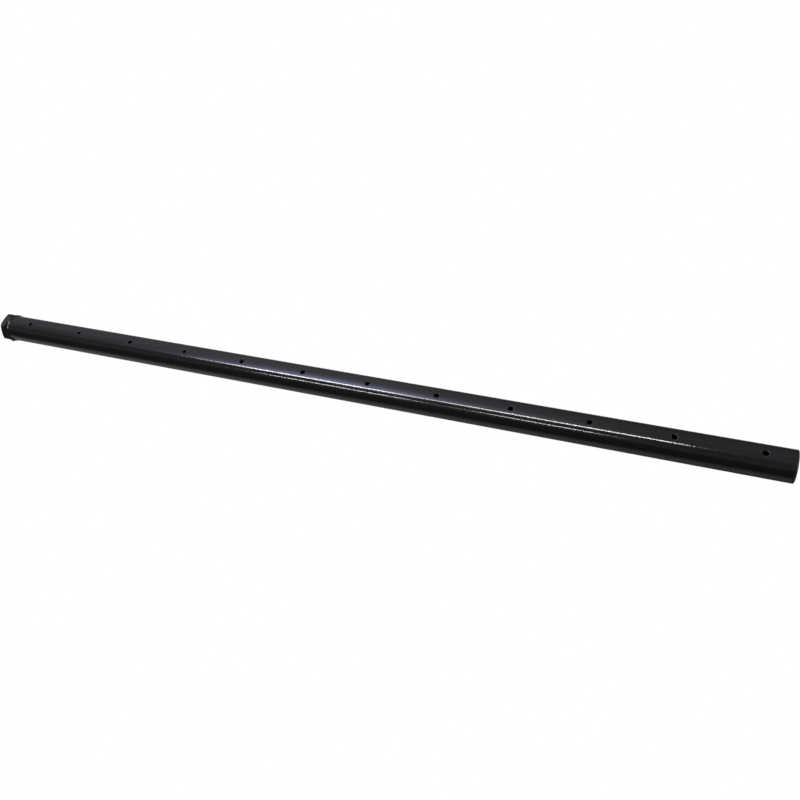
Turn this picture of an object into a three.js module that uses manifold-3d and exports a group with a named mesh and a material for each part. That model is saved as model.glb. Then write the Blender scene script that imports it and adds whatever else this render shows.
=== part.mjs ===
// Cargo bar for a truck bed: a drilled round tube with a jack bolt in one end.
// Millimetres. X runs along the bar with the jack at -X, +Z is up, and the
// origin is the centre of the whole bar.

import * as THREE from 'three';
import * as BufferGeometryUtils from 'three/addons/utils/BufferGeometryUtils.js';
import Module from 'manifold-3d';

const wasm = await Module();
wasm.setup();

// Clearance left between neighbouring pieces.
const GAP = 0.3;

// Tube
const TUBE_DIA = 40;
const TUBE_WALL = 3;
const TUBE_EDGE = 0.4;
const HOLE_COUNT = 12;
const HOLE_PITCH = 100;
const HOLE_DIA = 8;
const HEAD_FACE_TO_FIRST_HOLE = 57;
const TUBE_END_TO_FIRST_HOLE = 41;
const LAST_HOLE_TO_BAR_END = 35;

// Jack bolt
const HEAD_ACROSS_FLATS = 41;
const HEAD_THICKNESS = 10.5;
const HEAD_CHAMFER_DIA = 39.6;
const HEAD_FAR_CHAMFER = 2.2;
const HEAD_NEAR_CHAMFER = 1.2;
const SHANK_DIA = 26.2;
const SHANK_LENGTH = 90;
const SHANK_CHAMFER = 2;

// Threaded bush, with a collar as wide as the tube
const BUSH_BORE = 26.8;
const BUSH_BODY_DIA = TUBE_DIA - 2 * TUBE_WALL - 2 * GAP;
const BUSH_END_TO_FIRST_HOLE = 8;
const BUSH_CHAMFER = 1;

// Weld bead
const BEAD_LENGTH = 9.4;
const BEAD_CROWN = 2.8;
const BEAD_FROM_HEAD = 0.6;
const BEAD_HEIGHT = 1.9;
const BEAD_SWELL = 0.35;
const BEAD_SWELLS = 14;
const BEAD_LUMP = 1.4;
const BEAD_LUMP_ANGLE = -158 * Math.PI / 180;
const BEAD_LUMP_SPREAD = 14 * Math.PI / 180;

// Foot pad, its pin and the snap ring
const PAD_DIA = 28;
const PAD_HEIGHT = 4.5;
const PAD_EDGE = 1;
const PIN_DIA = 8;
const PIN_BORE = 8.6;
const PIN_LENGTH = 11;
const PIN_BORE_DEPTH = 12.5;
const PIN_FLANGE_DIA = 16;
const PIN_FLANGE_THICKNESS = 1.2;
const PIN_CHAMFER = 0.8;
const RING_DEPTH = 7.5;
const RING_WIDTH = 1;
const RING_INNER_DIA = 6.8;
const RING_OUTER_DIA = 9.2;
const RING_OPENING = 0.5;

// End plug
const PLUG_FLANGE = 2;
const PLUG_LENGTH = 20;
const PLUG_BODY_DIA = 31.4;
const PLUG_WALL = 2.6;
const PLUG_RIB_DIA = BUSH_BODY_DIA;
const PLUG_RIB_PITCH = 4;
const PLUG_RIB_WIDTH = 1.6;
const PLUG_RIBS = 4;
const PLUG_EDGE = 0.6;

// Facets round each kind of surface
const TUBE_SIDES = 72;
const SMALL_SIDES = 48;
const HOLE_SIDES = 28;

// Places along the bar
const HOLE_SPAN = (HOLE_COUNT - 1) * HOLE_PITCH;
const BAR_LENGTH = PAD_HEIGHT + HEAD_FACE_TO_FIRST_HOLE + HOLE_SPAN + LAST_HOLE_TO_BAR_END;
const PAD_FACE_X = -BAR_LENGTH / 2;
const HEAD_FACE_X = PAD_FACE_X + PAD_HEIGHT;
const HEAD_BACK_X = HEAD_FACE_X + HEAD_THICKNESS;
const FIRST_HOLE_X = HEAD_FACE_X + HEAD_FACE_TO_FIRST_HOLE;
const TUBE_LEFT_X = FIRST_HOLE_X - TUBE_END_TO_FIRST_HOLE;
const BAR_END_X = BAR_LENGTH / 2;
const TUBE_RIGHT_X = BAR_END_X - PLUG_FLANGE - GAP;
const BUSH_FACE_X = HEAD_BACK_X + GAP;
const BUSH_END_X = FIRST_HOLE_X - BUSH_END_TO_FIRST_HOLE;

const BLACK_PAINT = new THREE.MeshStandardMaterial({ color: 0x08090b, roughness: 0.28, metalness: 0.1 });
const BLACK_STEEL = new THREE.MeshStandardMaterial({ color: 0x0b0b0d, roughness: 0.35, metalness: 0.6 });
const BARE_STEEL = new THREE.MeshStandardMaterial({ color: 0x9a9ca0, roughness: 0.4, metalness: 1 });
const RUBBER = new THREE.MeshStandardMaterial({ color: 0x101010, roughness: 0.9, metalness: 0 });
const PLASTIC = new THREE.MeshStandardMaterial({ color: 0x0c0c0d, roughness: 0.6, metalness: 0 });

// Turns a body of (x, radius) corners round the X axis. A profile that leaves
// the axis out is closed on itself, so it makes a ring.
function turned(corners, sides) {
  const profile = corners.map(([x, radius]) => new THREE.Vector2(radius, x));
  const onAxis = corners[0][1] === 0;
  if (!onAxis) {
    profile.push(profile[0].clone());
  }
  const geometry = new THREE.LatheGeometry(profile, sides);
  geometry.rotateZ(-Math.PI / 2);
  return geometry;
}

// A solid for booleans, always facing outwards.
function solid(geometry) {
  const plain = new THREE.BufferGeometry();
  plain.setAttribute('position', geometry.getAttribute('position'));
  plain.setIndex(geometry.getIndex());
  const merged = BufferGeometryUtils.mergeVertices(plain, 1e-4);
  const index = Uint32Array.from(merged.getIndex().array);
  const points = merged.getAttribute('position').array;
  if (signedVolume(points, index) < 0) {
    for (let i = 0; i < index.length; i += 3) {
      [index[i], index[i + 1]] = [index[i + 1], index[i]];
    }
  }
  return new wasm.Manifold(new wasm.Mesh({ numProp: 3, vertProperties: Float32Array.from(points), triVerts: index }));
}

function signedVolume(points, index) {
  const a = new THREE.Vector3();
  const b = new THREE.Vector3();
  const c = new THREE.Vector3();
  let sum = 0;
  for (let i = 0; i < index.length; i += 3) {
    a.fromArray(points, 3 * index[i]);
    b.fromArray(points, 3 * index[i + 1]);
    c.fromArray(points, 3 * index[i + 2]);
    sum += a.dot(b.cross(c));
  }
  return sum / 6;
}

function geometryOf(body) {
  const mesh = body.getMesh();
  const geometry = new THREE.BufferGeometry();
  geometry.setAttribute('position', new THREE.BufferAttribute(mesh.vertProperties, 3));
  geometry.setIndex(new THREE.BufferAttribute(mesh.triVerts, 1));
  geometry.computeVertexNormals();
  return geometry;
}

const bar = new THREE.Group();
bar.name = 'bed_cargo_bar';

function add(name, body, material) {
  const mesh = new THREE.Mesh(geometryOf(body), material);
  mesh.name = name;
  bar.add(mesh);
}

// The tube: a hollow length with its cut edges broken, drilled right through
// from top to bottom.
function makeTube() {
  const outer = TUBE_DIA / 2;
  const inner = outer - TUBE_WALL;
  const corners = [
    [TUBE_LEFT_X, inner],
    [TUBE_LEFT_X, outer - TUBE_EDGE],
    [TUBE_LEFT_X + TUBE_EDGE, outer],
    [TUBE_RIGHT_X - TUBE_EDGE, outer],
    [TUBE_RIGHT_X, outer - TUBE_EDGE],
    [TUBE_RIGHT_X, inner],
  ];
  let tube = solid(turned(corners, TUBE_SIDES));
  for (let i = 0; i < HOLE_COUNT; i += 1) {
    const drill = new THREE.CylinderGeometry(HOLE_DIA / 2, HOLE_DIA / 2, 2 * TUBE_DIA, HOLE_SIDES);
    drill.rotateX(Math.PI / 2);
    drill.translate(FIRST_HOLE_X + i * HOLE_PITCH, 0, 0);
    tube = tube.subtract(solid(drill));
  }
  return tube;
}

// The bush: its collar butts against the tube's end and its body sits inside.
function makeBush() {
  const collar = TUBE_DIA / 2;
  const body = BUSH_BODY_DIA / 2;
  const bore = BUSH_BORE / 2;
  const shoulder = TUBE_LEFT_X - GAP;
  return solid(turned([
    [BUSH_FACE_X, bore + BUSH_CHAMFER],
    [BUSH_FACE_X, collar - TUBE_EDGE],
    [BUSH_FACE_X + TUBE_EDGE, collar],
    [shoulder, collar],
    [shoulder, body],
    [BUSH_END_X - BUSH_CHAMFER, body],
    [BUSH_END_X, body - BUSH_CHAMFER],
    [BUSH_END_X, bore + BUSH_CHAMFER],
    [BUSH_END_X - BUSH_CHAMFER, bore],
    [BUSH_FACE_X + BUSH_CHAMFER, bore],
  ], TUBE_SIDES));
}

// The weld bead: a domed ring round the joint of bush and tube, steeper beside
// the head, swelling and thinning as laid down by hand, with one lump in front.
function makeBead() {
  const inner = TUBE_DIA / 2 + GAP;
  const start = HEAD_BACK_X + BEAD_FROM_HEAD;
  const steps = 10;
  const corners = [[start, inner]];
  for (let i = 1; i < steps; i += 1) {
    const angle = (Math.PI * i) / steps;
    const reach = angle < Math.PI / 2 ? BEAD_CROWN : BEAD_LENGTH - BEAD_CROWN;
    const along = start + BEAD_CROWN - reach * Math.cos(angle);
    corners.push([along, inner + BEAD_HEIGHT * Math.sin(angle)]);
  }
  corners.push([start + BEAD_LENGTH, inner]);
  const ring = turned(corners, 2 * TUBE_SIDES);
  const points = ring.getAttribute('position');
  const point = new THREE.Vector3();
  for (let i = 0; i < points.count; i += 1) {
    point.fromBufferAttribute(points, i);
    const radius = Math.hypot(point.y, point.z);
    const rise = (radius - inner) / BEAD_HEIGHT;
    const around = Math.atan2(point.z, point.y);
    const off = (around - BEAD_LUMP_ANGLE) / BEAD_LUMP_SPREAD;
    const swell = BEAD_SWELL * Math.cos(BEAD_SWELLS * around) + BEAD_LUMP * Math.exp(-off * off);
    const grown = radius + rise * swell;
    points.setXYZ(i, point.x, (point.y * grown) / radius, (point.z * grown) / radius);
  }
  return solid(ring);
}

// The jack bolt: a hexagon head with turned chamfers, flats up and down, and
// a plain shank. A blind bore in the head's face carries the pad's pin.
function makeJackBolt() {
  const corner = HEAD_ACROSS_FLATS / Math.sqrt(3);
  const hexagon = new THREE.CylinderGeometry(corner, corner, HEAD_THICKNESS, 6);
  hexagon.rotateZ(-Math.PI / 2);
  hexagon.rotateX(Math.PI / 6);
  hexagon.translate(HEAD_FACE_X + HEAD_THICKNESS / 2, 0, 0);
  const chamfered = turned([
    [HEAD_FACE_X, 0],
    [HEAD_FACE_X, HEAD_CHAMFER_DIA / 2],
    [HEAD_FACE_X + HEAD_FAR_CHAMFER, corner + 0.1],
    [HEAD_BACK_X - HEAD_NEAR_CHAMFER, corner + 0.1],
    [HEAD_BACK_X, HEAD_CHAMFER_DIA / 2],
    [HEAD_BACK_X, 0],
  ], TUBE_SIDES);
  const shankEnd = HEAD_BACK_X + SHANK_LENGTH;
  const shank = turned([
    [HEAD_FACE_X + HEAD_THICKNESS / 2, 0],
    [HEAD_FACE_X + HEAD_THICKNESS / 2, SHANK_DIA / 2],
    [shankEnd - SHANK_CHAMFER, SHANK_DIA / 2],
    [shankEnd, SHANK_DIA / 2 - SHANK_CHAMFER],
    [shankEnd, 0],
  ], SMALL_SIDES);
  const bore = turned([
    [HEAD_FACE_X - 1, 0],
    [HEAD_FACE_X - 1, PIN_BORE / 2],
    [HEAD_FACE_X + RING_DEPTH - GAP, PIN_BORE / 2],
    [HEAD_FACE_X + RING_DEPTH - GAP, RING_OUTER_DIA / 2 + GAP],
    [HEAD_FACE_X + RING_DEPTH + RING_WIDTH + GAP, RING_OUTER_DIA / 2 + GAP],
    [HEAD_FACE_X + RING_DEPTH + RING_WIDTH + GAP, PIN_BORE / 2],
    [HEAD_FACE_X + PIN_BORE_DEPTH, PIN_BORE / 2],
    [HEAD_FACE_X + PIN_BORE_DEPTH, 0],
  ], SMALL_SIDES);
  return solid(hexagon).intersect(solid(chamfered)).add(solid(shank)).subtract(solid(bore));
}

// The foot pad: a rubber disc with a recess in its back for the pin's flange.
function makePad() {
  const back = HEAD_FACE_X - GAP;
  const recess = PIN_FLANGE_DIA / 2 + GAP;
  const recessDepth = PIN_FLANGE_THICKNESS + GAP;
  return solid(turned([
    [PAD_FACE_X, 0],
    [PAD_FACE_X, PAD_DIA / 2 - PAD_EDGE],
    [PAD_FACE_X + PAD_EDGE, PAD_DIA / 2],
    [back, PAD_DIA / 2],
    [back, recess],
    [back - recessDepth, recess],
    [back - recessDepth, 0],
  ], SMALL_SIDES));
}

// The pin: a flange held in the pad, and a stem with a groove for the ring.
function makePin() {
  const flangeBack = HEAD_FACE_X - GAP;
  const ringStart = HEAD_FACE_X + RING_DEPTH;
  const groove = RING_INNER_DIA / 2 - GAP;
  const stem = PIN_DIA / 2;
  return solid(turned([
    [flangeBack - PIN_FLANGE_THICKNESS, 0],
    [flangeBack - PIN_FLANGE_THICKNESS, PIN_FLANGE_DIA / 2],
    [flangeBack, PIN_FLANGE_DIA / 2],
    [flangeBack, stem],
    [ringStart - GAP, stem],
    [ringStart - GAP, groove],
    [ringStart + RING_WIDTH + GAP, groove],
    [ringStart + RING_WIDTH + GAP, stem],
    [HEAD_FACE_X + PIN_LENGTH - PIN_CHAMFER, stem],
    [HEAD_FACE_X + PIN_LENGTH, stem - PIN_CHAMFER],
    [HEAD_FACE_X + PIN_LENGTH, 0],
  ], SMALL_SIDES));
}

// The snap ring: a flat ring with an opening, cut from a sector.
function makeRing() {
  const section = new THREE.Shape();
  section.absarc(0, 0, RING_OUTER_DIA / 2, RING_OPENING / 2, 2 * Math.PI - RING_OPENING / 2, false);
  section.absarc(0, 0, RING_INNER_DIA / 2, 2 * Math.PI - RING_OPENING / 2, RING_OPENING / 2, true);
  section.closePath();
  const ring = new THREE.ExtrudeGeometry(section, { depth: RING_WIDTH, bevelEnabled: false, curveSegments: SMALL_SIDES });
  ring.rotateY(Math.PI / 2);
  ring.translate(HEAD_FACE_X + RING_DEPTH, 0, 0);
  return solid(ring);
}

// The end plug: a flange over the tube's end and a hollow, ribbed body.
function makePlug() {
  const body = PLUG_BODY_DIA / 2;
  const rib = PLUG_RIB_DIA / 2;
  const flangeBack = BAR_END_X - PLUG_FLANGE;
  const inner = body - PLUG_WALL;
  const tip = flangeBack - PLUG_LENGTH;
  const corners = [
    [BAR_END_X, 0],
    [BAR_END_X, TUBE_DIA / 2 - PLUG_EDGE],
    [BAR_END_X - PLUG_EDGE, TUBE_DIA / 2],
    [flangeBack, TUBE_DIA / 2],
    [flangeBack, body],
  ];
  for (let i = 1; i <= PLUG_RIBS; i += 1) {
    const crest = flangeBack - i * PLUG_RIB_PITCH;
    corners.push([crest + PLUG_RIB_WIDTH / 2, body]);
    corners.push([crest + PLUG_RIB_WIDTH / 4, rib]);
    corners.push([crest - PLUG_RIB_WIDTH / 2, body]);
  }
  corners.push([tip, body]);
  corners.push([tip, inner]);
  corners.push([flangeBack - PLUG_WALL / 2, inner]);
  corners.push([flangeBack - PLUG_WALL / 2, 0]);
  return solid(turned(corners, SMALL_SIDES));
}

add('main_tube', makeTube(), BLACK_PAINT);
add('threaded_bush', makeBush(), BLACK_PAINT);
add('weld_bead', makeBead(), BLACK_PAINT);
add('jack_bolt', makeJackBolt(), BLACK_STEEL);
add('foot_pad', makePad(), RUBBER);
add('pad_pin', makePin(), BARE_STEEL);
add('pin_ring', makeRing(), BARE_STEEL);
add('end_plug', makePlug(), PLASTIC);

export default bar;
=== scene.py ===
# A drilled steel cargo bar with a jack bolt: looks, light and camera.
# Metres, in the same frame as the CAD: X along the bar, jack end at -X, +Z up.

import math
import random

import bpy
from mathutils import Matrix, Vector


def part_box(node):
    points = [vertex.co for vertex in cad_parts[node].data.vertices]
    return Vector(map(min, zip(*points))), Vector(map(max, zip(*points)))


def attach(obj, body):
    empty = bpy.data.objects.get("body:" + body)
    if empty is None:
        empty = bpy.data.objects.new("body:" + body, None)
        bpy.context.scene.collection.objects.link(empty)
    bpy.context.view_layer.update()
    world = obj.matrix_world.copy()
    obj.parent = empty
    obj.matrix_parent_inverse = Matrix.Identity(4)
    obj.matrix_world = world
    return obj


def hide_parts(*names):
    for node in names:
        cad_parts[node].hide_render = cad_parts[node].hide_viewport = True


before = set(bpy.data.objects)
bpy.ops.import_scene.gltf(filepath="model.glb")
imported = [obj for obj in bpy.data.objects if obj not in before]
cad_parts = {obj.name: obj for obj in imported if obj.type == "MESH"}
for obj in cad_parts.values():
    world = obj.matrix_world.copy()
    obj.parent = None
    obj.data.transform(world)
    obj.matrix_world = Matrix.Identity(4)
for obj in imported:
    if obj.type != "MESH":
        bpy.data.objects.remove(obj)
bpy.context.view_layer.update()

MM = 0.001
FULL_TURN = 2 * math.pi
ROUND_STEPS = 96
MERGE_DISTANCE = 0.002 * MM

# Tube and holes
TUBE_WALL = 3 * MM
TUBE_EDGE_ROUND = 0.5 * MM
HOLE_COUNT = 12
HOLE_PITCH = 100 * MM
HOLE_RADIUS = 4 * MM
TUBE_END_TO_FIRST_HOLE = 41 * MM
HOLE_RIM_ROUND = 0.35 * MM
TUBE_STEPS = 240
HOLE_STEPS = 64
HOLE_BAND_NEAR = 5 * MM
HOLE_BAND_FAR = 9 * MM

# Threaded bush
BUSH_BORE_RADIUS = 13.4 * MM
BUSH_BORE_CHAMFER = 1 * MM
BUSH_SHOULDER_GAP = 0.05 * MM
BUSH_SIDE_GAP = 0.15 * MM
BUSH_FACE_ROUND = 0.6 * MM
BUSH_END_ROUND = 0.8 * MM

# Jack bolt
HEAD_THICKNESS = 10.5 * MM
HEAD_CHAMFER_RADIUS = 19.75 * MM
HEAD_FAR_CHAMFER = 2.2 * MM
HEAD_NEAR_CHAMFER = 1.2 * MM
HEAD_EDGE_ROUND = 0.35 * MM
THREAD_PITCH = 3 * MM
THREAD_CREST_RADIUS = 13.15 * MM
THREAD_ROOT_RADIUS = 11.5 * MM
THREAD_RUNOUT = 4 * MM
THREAD_STEPS = 72
THREAD_MERGE = 0.005 * MM
TIP_CHAMFER = 1.9 * MM
HEAD_STEPS = 180
SOCKET_STEPS = 64
PIN_SOCKET_RADIUS = 4.3 * MM
PIN_SOCKET_FLARE = 1.4 * MM
PIN_SOCKET_DEPTH = 12.5 * MM
PIN_SOCKET_POINT = 14 * MM
RING_ROOM = 0.3 * MM

# Weld
BEAD_RIPPLES = 46
BEAD_CROWN = 1.3 * MM
BEAD_CREST_HEIGHT = 1.35 * MM
BEAD_HALF_WIDTH = 3.3 * MM
BEAD_DROP_REACH = 2.7 * MM
BEAD_DROP_DEPTH = 2.3 * MM
BEAD_LEAN = math.radians(9)
LUMP_ANGLE = math.radians(105)
LUMP_DROPS = 7
LUMP_SIZE = (2.2 * MM, 2.3 * MM, 2.2 * MM)
SPATTER_DROPS = 9
MELT_GRAIN = 0.42 * MM

# Foot pad, its pin and the snap ring
PAD_RING_RADII = (3.2 * MM, 6.4 * MM, 9.6 * MM)
PAD_RIB_HEIGHT = 0.45 * MM
PAD_PIN_ROOM = 0.1 * MM
PAD_STEPS = 144
PIN_STEM_RADIUS = 4 * MM
PIN_GROOVE_RADIUS = 3.1 * MM
PIN_GROOVE_ROOM = 0.2 * MM
PIN_FLANGE_THICKNESS = 1.2 * MM
PIN_SMALL_CHAMFER = 0.2 * MM
PIN_TIP_CHAMFER = 0.8 * MM
RING_INNER_RADIUS = 3.4 * MM
RING_EDGE = 0.15 * MM
RING_STEPS = 72
RING_GAP = 2 * MM
SAW_SIZE = 4 * MM

# End plug
PLUG_FLANGE = 2 * MM
PLUG_WALL = 2.6 * MM
PLUG_DISH_DEPTH = 0.5 * MM
PLUG_RIBS = 4
PLUG_RIB_PITCH = 4 * MM
PLUG_STEPS = 192

tube_low, tube_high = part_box("main_tube")
bush_low, bush_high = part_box("threaded_bush")
bead_low, bead_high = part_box("weld_bead")
bolt_low, bolt_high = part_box("jack_bolt")
pad_low, pad_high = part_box("foot_pad")
pin_low, pin_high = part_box("pad_pin")
ring_low, ring_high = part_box("pin_ring")
plug_low, plug_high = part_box("end_plug")

TUBE_RADIUS = (tube_high.z - tube_low.z) / 2
BORE_RADIUS = TUBE_RADIUS - TUBE_WALL
HEX_CORNER_RADIUS = (bolt_high.y - bolt_low.y) / 2
FIRST_HOLE_X = tube_low.x + TUBE_END_TO_FIRST_HOLE
HEAD_BACK_X = bolt_low.x + HEAD_THICKNESS


# ---------------------------------------------------------------- workshop

def clear_selection():
    if bpy.context.mode != "OBJECT":
        bpy.ops.object.mode_set(mode="OBJECT")
    bpy.ops.object.select_all(action="DESELECT")


def pick(piece):
    clear_selection()
    piece.select_set(True)
    bpy.context.view_layer.objects.active = piece


def settle(piece, name):
    """Names a finished piece and leaves its place in its mesh."""
    pick(piece)
    piece.name = name
    piece.data.name = name
    bpy.ops.object.transform_apply(location=True, rotation=True, scale=True)
    return piece


def tidy_surface(piece):
    pick(piece)
    bpy.ops.object.mode_set(mode="EDIT")
    bpy.ops.mesh.select_all(action="SELECT")
    bpy.ops.mesh.remove_doubles(threshold=MERGE_DISTANCE)
    bpy.ops.mesh.normals_make_consistent(inside=False)
    bpy.ops.object.mode_set(mode="OBJECT")


def smooth(piece, degrees=32):
    pick(piece)
    bpy.ops.object.shade_smooth_by_angle(angle=math.radians(degrees))


def trace_outline(points):
    """Draws a bent line in the XZ plane, one extruded corner after another."""
    clear_selection()
    bpy.ops.mesh.primitive_plane_add(size=MM, location=(0, 0, 0))
    line = bpy.context.active_object
    bpy.ops.object.mode_set(mode="EDIT")
    bpy.ops.mesh.select_mode(type="VERT")
    bpy.ops.mesh.select_all(action="SELECT")
    bpy.ops.mesh.merge(type="CENTER")
    first_x, first_radius = points[0]
    bpy.ops.transform.translate(value=(first_x, 0, first_radius))
    for (x0, r0), (x1, r1) in zip(points, points[1:]):
        step = (x1 - x0, 0, r1 - r0)
        bpy.ops.mesh.extrude_region_move(TRANSFORM_OT_translate={"value": step})
    bpy.ops.object.mode_set(mode="OBJECT")
    return line


def turn(points, steps):
    """Spins an outline of (x, radius) corners round the X axis; one that is off the axis is closed first."""
    closed = points[0][1] > 0
    body = trace_outline(points + [points[0]] if closed else points)
    pick(body)
    bpy.ops.object.mode_set(mode="EDIT")
    bpy.ops.mesh.select_all(action="SELECT")
    bpy.ops.mesh.spin(steps=steps, angle=FULL_TURN, center=(0, 0, 0), axis=(1, 0, 0))
    bpy.ops.object.mode_set(mode="OBJECT")
    tidy_surface(body)
    return body


def rounded_corner(corner, before, after, size, pieces=4):
    """The points of a small round that replaces one corner of an outline."""
    corner, before, after = Vector(corner), Vector(before), Vector(after)
    start = corner + (before - corner).normalized() * size
    end = corner + (after - corner).normalized() * size
    points = []
    for i in range(pieces + 1):
        t = i / pieces
        point = (1 - t) ** 2 * start + 2 * t * (1 - t) * corner + t ** 2 * end
        points.append((point.x, point.y))
    return points


def soften(points, rounds):
    """Rounds the named corners of an outline; rounds maps a corner's number to the round's size."""
    softened = []
    count = len(points)
    for i, point in enumerate(points):
        if i in rounds:
            before = points[(i - 1) % count]
            after = points[(i + 1) % count]
            softened += rounded_corner(point, before, after, rounds[i])
        else:
            softened.append(point)
    return softened


def combine(body, tool, operation):
    """Cuts, joins or trims body with tool, and takes the tool away."""
    pick(body)
    step = body.modifiers.new(operation.lower(), "BOOLEAN")
    step.operation = operation
    step.solver = "EXACT"
    step.object = tool
    bpy.ops.object.modifier_apply(modifier=step.name)
    bpy.data.objects.remove(tool, do_unlink=True)


def round_edges(piece, width, segments, degrees):
    pick(piece)
    step = piece.modifiers.new("rounded", "BEVEL")
    step.width = width
    step.segments = segments
    step.limit_method = "ANGLE"
    step.angle_limit = math.radians(degrees)
    step.miter_outer = "MITER_ARC"
    bpy.ops.object.modifier_apply(modifier=step.name)


# ------------------------------------------------------------------ pieces

def make_tube():
    rounds = {1: TUBE_EDGE_ROUND, 2: TUBE_EDGE_ROUND}
    hole_places = [FIRST_HOLE_X + i * HOLE_PITCH for i in range(HOLE_COUNT)]
    shell = soften([
        (tube_low.x, BORE_RADIUS),
        (tube_low.x, TUBE_RADIUS),
        (tube_high.x, TUBE_RADIUS),
        (tube_high.x, BORE_RADIUS),
    ], rounds)
    half = len(shell) // 2
    bands = []
    for place in hole_places:
        bands += [place - HOLE_BAND_FAR, place - HOLE_BAND_NEAR]
        bands += [place + HOLE_BAND_NEAR, place + HOLE_BAND_FAR]
    outside = [(x, TUBE_RADIUS) for x in bands]
    inside = [(x, BORE_RADIUS) for x in reversed(bands)]
    tube = turn(shell[:half] + outside + shell[half:] + inside, TUBE_STEPS)
    drills = []
    for place in hole_places:
        clear_selection()
        bpy.ops.mesh.primitive_cylinder_add(
            vertices=HOLE_STEPS, radius=HOLE_RADIUS, depth=3 * TUBE_RADIUS, location=(place, 0, 0))
        drills.append(bpy.context.active_object)
    clear_selection()
    for drill in drills:
        drill.select_set(True)
    bpy.context.view_layer.objects.active = drills[0]
    bpy.ops.object.join()
    combine(tube, drills[0], "DIFFERENCE")
    round_edges(tube, HOLE_RIM_ROUND, 3, 50)
    smooth(tube, 35)
    return settle(tube, "steel_tube")


def make_bush():
    collar_end = tube_low.x - BUSH_SHOULDER_GAP
    body_radius = BORE_RADIUS - BUSH_SIDE_GAP
    mouth = BUSH_BORE_RADIUS + BUSH_BORE_CHAMFER
    rounds = {1: BUSH_FACE_ROUND, 4: BUSH_END_ROUND}
    bush = turn(soften([
        (bush_low.x, mouth),
        (bush_low.x, TUBE_RADIUS),
        (collar_end, TUBE_RADIUS),
        (collar_end, body_radius),
        (bush_high.x, body_radius),
        (bush_high.x, mouth),
        (bush_high.x - BUSH_BORE_CHAMFER, BUSH_BORE_RADIUS),
        (bush_low.x + BUSH_BORE_CHAMFER, BUSH_BORE_RADIUS),
    ], rounds), TUBE_STEPS)
    smooth(bush)
    return settle(bush, "welded_bush")


def make_weld():
    """A hand-laid bead: flattened drops round the joint, melted into one skin and cut square at the head."""
    dice = random.Random(11)
    middle = bead_low.x + BEAD_CROWN
    crest = TUBE_RADIUS + BEAD_CREST_HEIGHT
    drops = []
    for i in range(BEAD_RIPPLES):
        angle = FULL_TURN * i / BEAD_RIPPLES
        wander = 0.25 * MM * (1 + math.sin(3 * angle + 0.6)) + dice.uniform(0, 0.3) * MM
        height = crest + dice.uniform(-0.3, 0.25) * MM
        width = BEAD_HALF_WIDTH * dice.uniform(0.86, 1.0)
        drops.append((angle, middle + wander, height, width, BEAD_DROP_REACH, BEAD_DROP_DEPTH))
    for i in range(LUMP_DROPS):
        angle = LUMP_ANGLE + math.radians(dice.uniform(-8, 8))
        along = middle + dice.uniform(0, 0.7) * MM
        height = crest + dice.uniform(1.4, 1.9) * MM
        drops.append((angle, along, height, *LUMP_SIZE))
    for i in range(SPATTER_DROPS):
        angle = dice.uniform(0, FULL_TURN)
        size = dice.uniform(0.5, 0.9) * MM
        along = middle + BEAD_HALF_WIDTH + dice.uniform(1, 9) * MM
        drops.append((angle, along, TUBE_RADIUS + 0.45 * size, size, size, size))
    made = []
    for angle, along, height, width, reach, depth in drops:
        clear_selection()
        bpy.ops.mesh.primitive_uv_sphere_add(segments=24, ring_count=14, radius=1, location=(0, 0, 0))
        drop = bpy.context.active_object
        drop.scale = (width, reach, depth)
        lean = BEAD_LEAN if width > MM else 0
        drop.rotation_euler = (angle + lean, 0, 0)
        out = height - depth
        drop.location = (along, -out * math.sin(angle), out * math.cos(angle))
        made.append(drop)
    clear_selection()
    for drop in made:
        drop.select_set(True)
    bpy.context.view_layer.objects.active = made[0]
    bpy.ops.object.join()
    weld = made[0]
    pick(weld)
    bpy.ops.object.transform_apply(location=True, rotation=True, scale=True)
    skin = weld.modifiers.new("melt", "REMESH")
    skin.mode = "VOXEL"
    skin.voxel_size = MELT_GRAIN
    bpy.ops.object.modifier_apply(modifier=skin.name)
    relax = weld.modifiers.new("relax", "SMOOTH")
    relax.factor = 0.5
    relax.iterations = 4
    bpy.ops.object.modifier_apply(modifier=relax.name)
    clear_of_weld = bead_high + Vector((20 * MM, 0, 2 * MM))
    kept = turn([
        (bead_low.x, 0),
        (bead_low.x, clear_of_weld.z),
        (clear_of_weld.x, clear_of_weld.z),
        (clear_of_weld.x, 0),
    ], ROUND_STEPS)
    combine(weld, kept, "INTERSECT")
    smooth(weld, 50)
    return settle(weld, "weld_bead_ring")


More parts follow.
